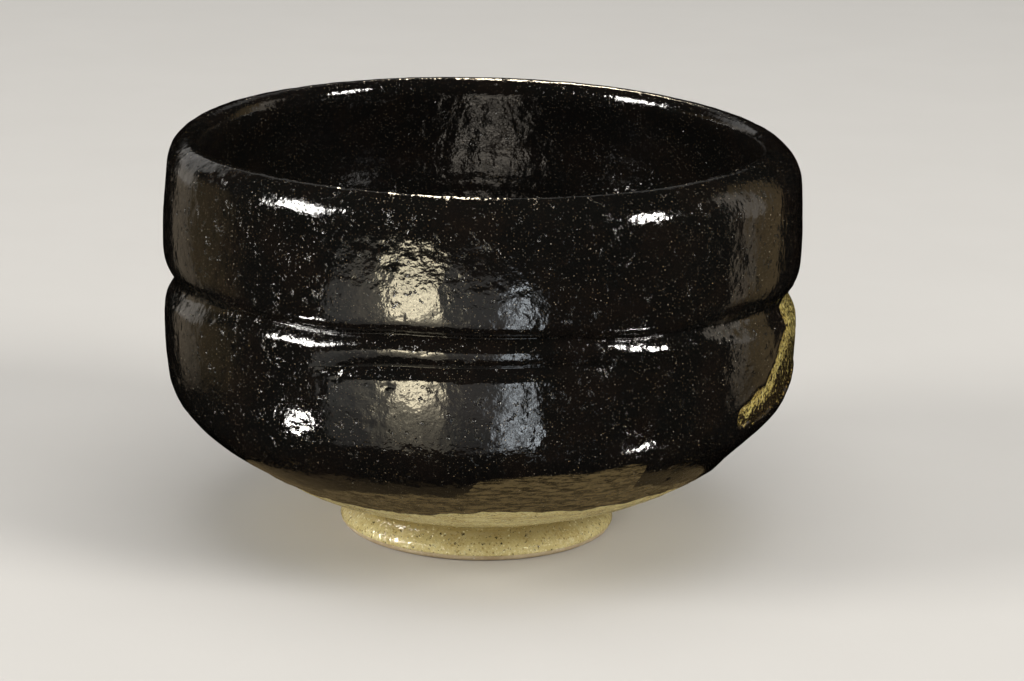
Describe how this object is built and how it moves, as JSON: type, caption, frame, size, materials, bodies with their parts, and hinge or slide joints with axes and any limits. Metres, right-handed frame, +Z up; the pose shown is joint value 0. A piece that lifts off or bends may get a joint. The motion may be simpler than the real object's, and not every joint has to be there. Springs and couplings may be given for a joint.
{
  "type": "matcha bowl",
  "caption": "Half-cylinder ceramic tea bowl with a waist groove, rounded belly and low flared foot, for whisking and drinking powdered tea.",
  "frame": {"origin": "centre of the resting face under the foot ring", "axes": "+Z up along the bowl's throwing axis, -Y towards the front of the bowl, +X to the right of a person facing the front, on the side of the straw-coloured window"},
  "size_m": [0.122, 0.122, 0.0764],
  "materials": {
    "buff_clay": "fine-grained unglazed stoneware, matte",
    "black_glaze": "glossy black-brown iron glaze with fine specks and pits",
    "straw_glaze": "thin glossy straw-coloured glaze over buff clay"
  },
  "bodies": {
    "root": {"stoneware_body": "buff_clay", "foot_ring": "buff_clay", "outer_black_glaze": "black_glaze", "inner_black_glaze": "black_glaze", "lower_straw_glaze": "straw_glaze", "window_straw_glaze": "straw_glaze"}
  },
  "joints": []
}
